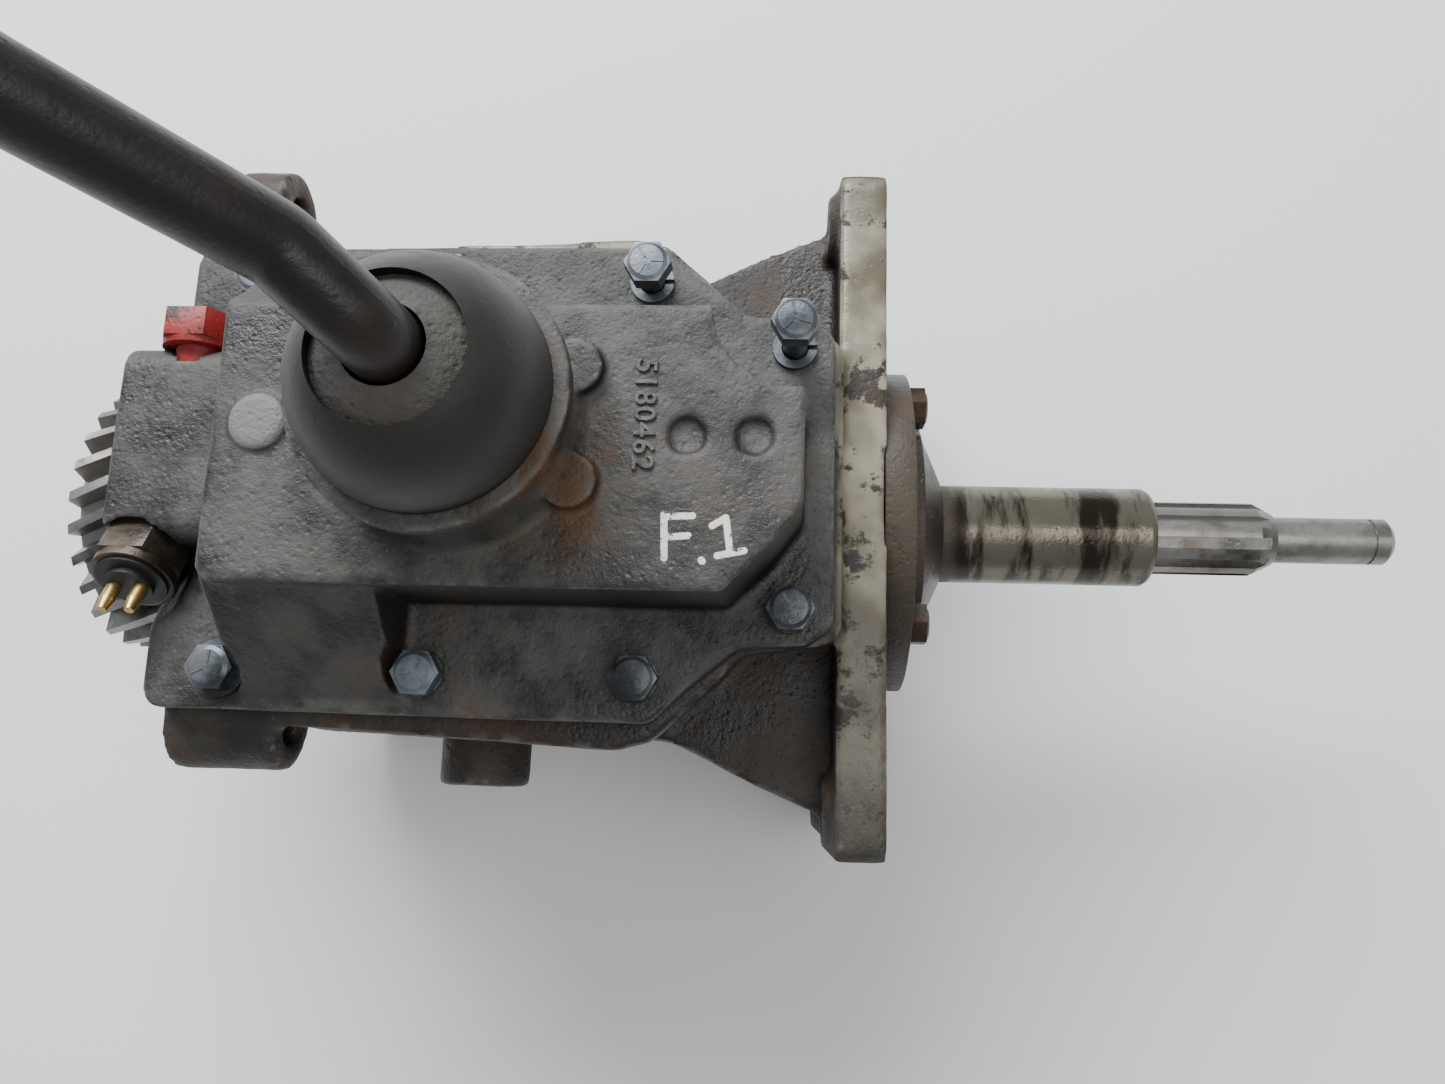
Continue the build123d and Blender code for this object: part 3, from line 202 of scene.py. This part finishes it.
def metal(name, base, dust_and_top_light=None, rust=(0.10, 0.042, 0.014), rust_amount=0.2, oil=0.3, dust_and_top_light_amount=0.5,
          dry=0.6, grain=1.0, relief=0.35, metallic=0.0, overlay=None):
    """Material of a metal surface. overlay may change its weathered colour, roughness and height."""
    material = bpy.data.materials.new(name)
    material.use_nodes = True
    tree = material.node_tree
    shader = tree.nodes["Principled BSDF"]
    place = put(tree, "TexCoord").outputs["Object"]
    skin = put(tree, "Group", node_tree=WEATHERING_AND_TOP_LIGHT)
    tree.links.new(place, skin.inputs["Place"])
    for key, value in {"Base": base, "Dust and Top Light": dust_and_top_light or base, "Rust": rust}.items():
        skin.inputs[key].default_value = (*value, 1)
    for key, value in {"Dust and Top Light Amount": dust_and_top_light_amount, "Rust Amount": rust_amount, "Oil Amount": oil,
                       "Grain": grain, "Dry Roughness": dry}.items():
        skin.inputs[key].default_value = value
    parts = {key: skin.outputs[key] for key in ("Color", "Roughness", "Height")}
    parts["Metallic"] = None
    if overlay:
        overlay(tree, place, parts)
    tree.links.new(parts["Color"], shader.inputs["Base Color"])
    tree.links.new(parts["Roughness"], shader.inputs["Roughness"])
    if parts["Metallic"]:
        tree.links.new(parts["Metallic"], shader.inputs["Metallic"])
    else:
        shader.inputs["Metallic"].default_value = metallic
    bump = put(tree, "Bump", {"Strength": relief, "Distance": 0.0012, "Height": parts["Height"]})
    tree.links.new(bump.outputs[0], shader.inputs["Normal"])
    return material


def edge_wear(tree):
    """Mask of the outer edges of a finely meshed casting."""
    return band(tree, put(tree, "NewGeometry").outputs["Pointiness"], 0.515, 0.56)


def casting(name, node, voxel, soften, lumps, triangles):
    """Copy of a cast node with its edges rounded as a sand mould leaves them, and a slightly lumpy skin."""
    mesh = frame["nodes"][node].data.copy()
    work = bmesh.new()
    work.from_mesh(mesh)
    bmesh.ops.remove_doubles(work, verts=work.verts, dist=1e-6)
    work.to_mesh(mesh)
    work.free()
    rough_piece = bpy.data.objects.new(name + "_mould", mesh)
    bpy.context.collection.objects.link(rough_piece)
    skin = rough_piece.modifiers.new("skin", "REMESH")
    skin.mode = "VOXEL"
    skin.voxel_size = voxel
    smooth = rough_piece.modifiers.new("soften", "SMOOTH")
    smooth.factor, smooth.iterations = 0.5, soften
    found = bpy.data.meshes.new_from_object(rough_piece.evaluated_get(bpy.context.evaluated_depsgraph_get()))
    swollen = []
    for vertex in found.vertices:
        swell = noise.noise(vertex.co * 60.0) + 0.5 * noise.noise(vertex.co * 220.0)
        swollen.extend(vertex.co + vertex.normal * lumps * swell)
    found.vertices.foreach_set("co", swollen)
    cast = bpy.data.objects.new(name, found)
    bpy.context.collection.objects.link(cast)
    thin = cast.modifiers.new("thin", "DECIMATE")
    thin.ratio = min(1.0, triangles / (2 * len(found.polygons)))
    final = bpy.data.meshes.new_from_object(cast.evaluated_get(bpy.context.evaluated_depsgraph_get()))
    cast.modifiers.clear()
    cast.data = final
    bpy.data.objects.remove(rough_piece)
    final.shade_smooth()
    return cast


# The iron's dust colour is also painted top light: up-facing iron is painted light and the walls stay dark.
IRON, IRON_DUST_AND_TOP_LIGHT, IRON_RUST = (0.013, 0.012, 0.010), (0.100, 0.100, 0.095), (0.070, 0.030, 0.011)


def milled_strip(tree, place, parts):
    """Machined areas of the case: the flange's top edge and the joint face for the cover, with painted light
    towards +Y.
    """
    split = put(tree, "SeparateXYZ", {0: place})
    x, y, z = (split.outputs[axis] for axis in "XYZ")
    fleck = cloud(tree, place, 75.0, 6.0, 0.68)
    strip = calc(tree, "MULTIPLY", band(tree, z, 0.0580, 0.0592), band(tree, x, -0.0175, -0.016))
    # Painted light: the joint face shows bright only towards +Y, and the milled strip fades out towards -Y,
    # away from the window.
    joint = calc(tree, "MULTIPLY", band(tree, z, 0.0700, 0.0710), band(tree, y, 0.0, 0.03))
    machined_with_painted_light = calc(tree, "MULTIPLY", calc(tree, "MAXIMUM", strip, joint), band(tree, fleck, 0.40, 0.47))
    machined_with_painted_light = calc(tree, "MULTIPLY", machined_with_painted_light, band(tree, y, -0.15, 0.03))
    stained = band(tree, cloud(tree, place, 30.0, 3.0), 0.35, 0.65)
    worn = mixed(tree, stained, (0.40, 0.36, 0.27, 1), (0.13, 0.115, 0.08, 1))
    edges = calc(tree, "MULTIPLY", edge_wear(tree), band(tree, fleck, 0.5, 0.62))
    color = mixed(tree, calc(tree, "MULTIPLY", edges, 0.35), parts["Color"], (0.30, 0.29, 0.27, 1))
    parts["Color"] = mixed(tree, machined_with_painted_light, color, worn)
    parts["Roughness"] = calc(tree, "SUBTRACT", parts["Roughness"], calc(tree, "MULTIPLY", machined_with_painted_light, 0.18))
    kept_relief = calc(tree, "SUBTRACT", 1.0, calc(tree, "MULTIPLY", machined_with_painted_light, 0.8))
    parts["Height"] = calc(tree, "MULTIPLY", parts["Height"], kept_relief)


case = casting("case_casting", "gear_case", 1.9 * MM, 3, 0.22 * MM, 190000)
case.data.materials.clear()
# The case's dust colour and amount also paint the top light on its up-facing surfaces.
case.data.materials.append(metal("case_iron", IRON, (0.085, 0.083, 0.078), (0.050, 0.022, 0.008),
                                 rust_amount=0.42, oil=0.42, dust_and_top_light_amount=0.8, dry=0.62, relief=0.5,
                                 overlay=milled_strip))
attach(case, "housing")
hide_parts("gear_case")

# ------------------------------------------------------------------ top cover
# The cover is a separate iron casting that carries the shift rails and, in its tower, the lever's ball.
cover = casting("cover_casting", "top_cover", 1.15 * MM, 4, 0.16 * MM, 190000)


STROKES = (((-0.0664, -0.0205), (-0.0659, -0.0326)), ((-0.0664, -0.0210), (-0.0585, -0.0207)),
           ((-0.0662, -0.0268), (-0.0595, -0.0263)), ((-0.0557, -0.0330), (-0.0554, -0.0334)),
           ((-0.0530, -0.0234), (-0.0493, -0.0211)), ((-0.0493, -0.0211), (-0.0479, -0.0308)),
           ((-0.0514, -0.0317), (-0.0441, -0.0302)))


def cover_marks(tree, place, parts):
    """Rust round the tower's foot, a bright pad on the block, and an inspector's white paint strokes."""
    split = put(tree, "SeparateXYZ", {0: place})
    flat = put(tree, "CombineXYZ", {0: split.outputs["X"], 1: split.outputs["Y"]}).outputs[0]
    bare = band(tree, cloud(tree, place, 85.0, 5.0, 0.7), 0.42, 0.6)
    edges = calc(tree, "MULTIPLY", edge_wear(tree), bare)
    color = mixed(tree, calc(tree, "MULTIPLY", edges, 0.4), parts["Color"], (0.26, 0.26, 0.25, 1))
    paint = None
    for start, end in STROKES:
        mask = stroke(tree, flat, start, end)
        paint = calc(tree, "MAXIMUM", paint, mask) if paint else mask
    paint = calc(tree, "MULTIPLY", paint, band(tree, split.outputs["Z"], 0.1145, 0.1152))
    paint = calc(tree, "MULTIPLY", paint, band(tree, cloud(tree, place, 420.0, 3.0, 0.7), 0.36, 0.44))
    near = put(tree, "VectorMath", {0: flat, 1: (-0.096, -0.012, 0)}, operation="DISTANCE").outputs["Value"]
    blotch = band(tree, cloud(tree, place, 60.0, 5.0, 0.65), 0.40, 0.62)
    foot = calc(tree, "MULTIPLY", band(tree, near, 0.030, 0.006), blotch)
    color = mixed(tree, calc(tree, "MULTIPLY", foot, 0.75), color, (0.13, 0.060, 0.020, 1))
    pad = put(tree, "VectorMath", {0: flat, 1: (-0.184, 0.0045, 0)}, operation="DISTANCE").outputs["Value"]
    pad_top = band(tree, split.outputs["Z"], 0.1166, 0.1172)
    pad = calc(tree, "MULTIPLY", band(tree, pad, 0.0086, 0.0080), pad_top)
    color = mixed(tree, calc(tree, "MULTIPLY", pad, 0.7), color, (0.22, 0.22, 0.21, 1))
    parts["Color"] = mixed(tree, paint, color, (0.80, 0.79, 0.75, 1))
    parts["Roughness"] = calc(tree, "ADD", parts["Roughness"], calc(tree, "MULTIPLY", foot, 0.15), clamp=True)


def stroke(tree, flat, start, end, half=0.0011):
    """Mask of a straight brush stroke between two points of the XY plane."""
    along = Vector(end) - Vector(start)
    offset = put(tree, "VectorMath", {0: flat, 1: (*start, 0)}, operation="SUBTRACT").outputs[0]
    scaled = (along.x / along.length_squared, along.y / along.length_squared, 0)
    share = put(tree, "VectorMath", {0: offset, 1: scaled}, operation="DOT_PRODUCT").outputs["Value"]
    share = calc(tree, "ADD", share, 0.0, clamp=True)
    spot = put(tree, "VectorMath", {0: (along.x, along.y, 0), "Scale": share}, operation="SCALE").outputs[0]
    far = put(tree, "VectorMath", {0: offset, 1: spot}, operation="DISTANCE").outputs["Value"]
    return band(tree, far, half, half - 0.0003)


cover.data.materials.clear()
cover.data.materials.append(metal("cover_iron", IRON, IRON_DUST_AND_TOP_LIGHT, IRON_RUST, rust_amount=0.14, oil=0.18,
                                  dust_and_top_light_amount=0.85, dry=0.55, relief=0.5, overlay=cover_marks))
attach(cover, "housing")
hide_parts("top_cover")

# ------------------------------------------------------------------ raised number and bolt marks
# Cast and forged relief: a column of raised figures in front of the tower, and three ticks on each bolt
# head. The figures are part of the cover's casting, and the bolts hold the cover down.
figures = bpy.data.curves.new("figures", "FONT")
figures.body = "5180462"
figures.size, figures.extrude, figures.space_character = 8.4 * MM, 0.45 * MM, 1.13
figures.bevel_depth, figures.bevel_resolution = 0.22 * MM, 1
figures_holder = bpy.data.objects.new("figures_holder", figures)
bpy.context.collection.objects.link(figures_holder)
evaluated = figures_holder.evaluated_get(bpy.context.evaluated_depsgraph_get())
figures_mesh = bpy.data.meshes.new_from_object(evaluated)
bpy.data.objects.remove(figures_holder)
figures_mesh.transform(Matrix.Translation((-0.0757, 0.0245, 0.1163)) @ Matrix.Rotation(-pi / 2, 4, "Z"))
raised = bmesh.new()
raised.from_mesh(figures_mesh)
bmesh.ops.remove_doubles(raised, verts=raised.verts, dist=2e-6)
raised.to_mesh(figures_mesh)
raised.free()
casting_number = bpy.data.objects.new("casting_number", figures_mesh)
bpy.context.collection.objects.link(casting_number)
casting_number.data.materials.append(cover.data.materials[0])
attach(casting_number, "housing")


def refined(node, width):
    """Copy of a node's mesh, merged, with its sharp edges broken by a small bevel."""
    work = bmesh.new()
    work.from_mesh(frame["nodes"][node].data)
    bmesh.ops.remove_doubles(work, verts=work.verts, dist=1e-6)
    bmesh.ops.dissolve_limit(work, angle_limit=radians(1.0), verts=work.verts, edges=work.edges)
    sharp = [edge for edge in work.edges if edge.is_manifold and edge.calc_face_angle(0.0) > radians(30.0)]
    bmesh.ops.bevel(work, geom=sharp, offset=width, segments=2, profile=0.5, affect="EDGES",
                    clamp_overlap=True, material=-1)
    bmesh.ops.triangulate(work, faces=[face for face in work.faces if len(face.verts) > 4])
    return work


def finished(name, work, material, node=None, body="housing"):
    """Makes the piece, with smooth shading up to 35 degrees, riding on its body in place of its node."""
    mesh = bpy.data.meshes.new(name)
    bmesh.ops.recalc_face_normals(work, faces=work.faces)
    work.to_mesh(mesh)
    work.free()
    mesh.shade_smooth()
    mesh.set_sharp_from_angle(angle=radians(35.0))
    piece = bpy.data.objects.new(name, mesh)
    bpy.context.collection.objects.link(piece)
    mesh.materials.append(material)
    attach(piece, body)
    if node:
        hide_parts(node)


# Each tick is a low bar, half sunk, from near the head's middle to near its rim. Two bolts are backed out.
zinc = metal("zinc_heads", (0.11, 0.125, 0.14), (0.23, 0.26, 0.29), rust_amount=0.10, oil=0.30,
             dust_and_top_light_amount=0.6, dry=0.45, relief=0.12, metallic=0.6)
bolts = refined("cover_bolts", 0.35 * MM)
HEAD_TOP = 89.4
HEADS = [(-77, 63.4, 9), (-142, 63.4, 0), (-205, 63.4, 0), (-77, -63.4, 0), (-142, -63.4, 0), (-205, -63.4, 0),
         (-31, 41.6, 17), (-31, -41.6, 0)]
tick = Matrix.Translation((3.1 * MM, 0, 0)) @ Matrix.Diagonal((3.8 * MM, 0.8 * MM, 0.5 * MM, 1))
for index, (x, y, backed_out) in enumerate(HEADS):
    on_head = Matrix.Translation(Vector((x, y, HEAD_TOP + backed_out)) * MM)
    for arm in range(3):
        turn = Matrix.Rotation(radians(17.0 * index + 120.0 * arm), 4, "Z")
        bmesh.ops.create_cube(bolts, size=1.0, matrix=on_head @ turn @ tick)
finished("cover_bolt_heads", bolts, zinc, "cover_bolts")

# ------------------------------------------------------------------ plug, switch and tail nut
# The hexagon plug is daubed red over rust. The switch has a steel hexagon, a black insulator and two brass
# posts, and screws into the rear boss. The nut holds the drive gear on the main shaft's tail.
def red_daub(tree, place, parts):
    """Red paint that has flaked off in patches down to dark oily steel."""
    left = band(tree, cloud(tree, place, 120.0, 5.0, 0.7), 0.40, 0.46)
    parts["Color"] = mixed(tree, left, (0.018, 0.014, 0.012, 1), parts["Color"])


finished("hex_plug", refined("rear_hex_plug", 0.5 * MM),
         metal("red_daub", (0.30, 0.018, 0.016), (0.34, 0.04, 0.035), rust_amount=0.0, oil=0.2,
               dust_and_top_light_amount=0.3, dry=0.5, relief=0.25, overlay=red_daub), "rear_hex_plug")
switch_steel = metal("switch_steel", (0.10, 0.092, 0.075), (0.16, 0.15, 0.12), rust_amount=0.35, oil=0.35,
                     dust_and_top_light_amount=0.5, dry=0.5, relief=0.25, metallic=0.5)
finished("switch_hexagon", refined("switch_body", 0.4 * MM), switch_steel, "switch_body")
finished("tail_hex_nut", refined("tail_nut", 0.6 * MM), switch_steel, "tail_nut",
         "main_shaft")

# ------------------------------------------------------------------ front retainer
# The retainer is one iron casting with its sleeve turned to size: brown and greasy at the flange, and worn
# bright beyond. Four bolts hold it to the front of the case.
def turned_sleeve(tree, place, parts):
    """The sleeve is bare steel with dark oil stains that run round it."""
    split = put(tree, "SeparateXYZ", {0: place})
    round_it = put(tree, "VectorMath", {0: place, 1: (110.0, 22.0, 22.0)}, operation="MULTIPLY").outputs[0]
    stain = cloud(tree, round_it, 1.0, 5.0, 0.6)
    steel = mixed(tree, band(tree, stain, 0.42, 0.56), (0.15, 0.135, 0.105, 1), (0.022, 0.015, 0.009, 1))
    where = band(tree, split.outputs["X"], 0.026, 0.031)
    parts["Color"] = mixed(tree, where, parts["Color"], steel)
    parts["Metallic"] = calc(tree, "MULTIPLY", where, 0.6)
    parts["Roughness"] = calc(tree, "SUBTRACT", parts["Roughness"], calc(tree, "MULTIPLY", where, 0.18))
    kept_relief = calc(tree, "SUBTRACT", 1.0, calc(tree, "MULTIPLY", where, 0.7))
    parts["Height"] = calc(tree, "MULTIPLY", parts["Height"], kept_relief)


finished("retainer_casting", refined("front_retainer", 0.6 * MM),
         metal("retainer_iron", (0.040, 0.030, 0.019), (0.085, 0.060, 0.036), (0.080, 0.036, 0.013),
               rust_amount=0.25, oil=0.35, dust_and_top_light_amount=0.5, dry=0.55, relief=0.4, overlay=turned_sleeve),
         "front_retainer")

# ------------------------------------------------------------------ every other CAD node
# Gears, shafts and bearings keep their CAD shape and get the finish of their own metal.
finishes = {
    slot: metal(name, color, **settings) for slot, name, color, settings in (
        ("gasket", "gasket_paper", (0.05, 0.042, 0.03),
         {"oil": 0.6, "rust_amount": 0.1, "dry": 0.8, "relief": 0.2}),
        ("machined_steel", "machined_steel", (0.28, 0.275, 0.26),
         {"rust_amount": 0.12, "oil": 0.25, "dust_and_top_light_amount": 0.2, "dry": 0.42, "relief": 0.08, "metallic": 0.85}),
        ("cast_steel", "cast_steel", (0.16, 0.155, 0.15),
         {"rust_amount": 0.15, "oil": 0.35, "dust_and_top_light_amount": 0.2, "dry": 0.5, "relief": 0.25, "metallic": 0.5}),
        ("bronze", "bronze", (0.42, 0.25, 0.10),
         {"rust": (0.12, 0.06, 0.02), "rust_amount": 0.1, "oil": 0.3, "dust_and_top_light_amount": 0.1, "dry": 0.4,
          "relief": 0.08, "metallic": 0.9}),
        ("seal_rubber", "seal_rubber", (0.014, 0.014, 0.014),
         {"rust_amount": -0.5, "oil": 0.2, "dust_and_top_light_amount": 0.1, "dry": 0.6, "relief": 0.1}),
        ("rusty_steel", "rusty_steel", (0.15, 0.14, 0.13),
         {"rust_amount": 0.5, "oil": 0.2, "dust_and_top_light_amount": 0.3, "dry": 0.55, "relief": 0.3, "metallic": 0.4}),
        ("dark_bolts", "dark_bolts", (0.075, 0.062, 0.048),
         {"rust_amount": 0.42, "oil": 0.35, "dust_and_top_light_amount": 0.3, "dry": 0.5, "relief": 0.2, "metallic": 0.4}),
        ("pressed_steel", "pressed_steel", (0.013, 0.0125, 0.010),
         {"dust_and_top_light": (0.021, 0.021, 0.018), "rust_amount": -0.1, "oil": 0.0, "dust_and_top_light_amount": 0.6, "dry": 0.5,
          "relief": 0.10}),
        ("gritty_felt", "gritty_cap", (0.055, 0.050, 0.044),
         {"dust_and_top_light": (0.115, 0.110, 0.105), "rust_amount": 0.1, "oil": -0.1, "dust_and_top_light_amount": 0.8, "dry": 0.9,
          "relief": 0.9, "grain": 0.7}),
        ("lever_steel", "lever_steel", (0.005, 0.0042, 0.0034),
         {"dust_and_top_light": (0.010, 0.008, 0.006), "rust": (0.018, 0.008, 0.004), "rust_amount": 0.30, "oil": 0.0,
          "dust_and_top_light_amount": 0.2, "dry": 0.42, "relief": 0.15}),
        ("knob_plastic", "knob_plastic", (0.012, 0.012, 0.012),
         {"rust_amount": -0.6, "oil": -0.3, "dust_and_top_light_amount": 0.1, "dry": 0.35, "relief": 0.04}),
        ("black_insulator", "black_insulator", (0.015, 0.015, 0.016),
         {"rust_amount": -0.5, "oil": 0.1, "dust_and_top_light_amount": 0.3, "dry": 0.55, "relief": 0.1}),
        ("brass", "brass", (0.50, 0.34, 0.13),
         {"rust": (0.10, 0.07, 0.03), "rust_amount": 0.1, "oil": 0.1, "dust_and_top_light_amount": 0.1, "dry": 0.35,
          "relief": 0.06, "metallic": 0.9}))}
finishes["zinc_bolts"] = zinc
slots = {row["node"]: row["material_slot"] for row in frame["record"]["subparts"]}
for node, cad in frame["nodes"].items():
    if slots[node] in finishes:
        cad.data.materials.clear()
        cad.data.materials.append(finishes[slots[node]])
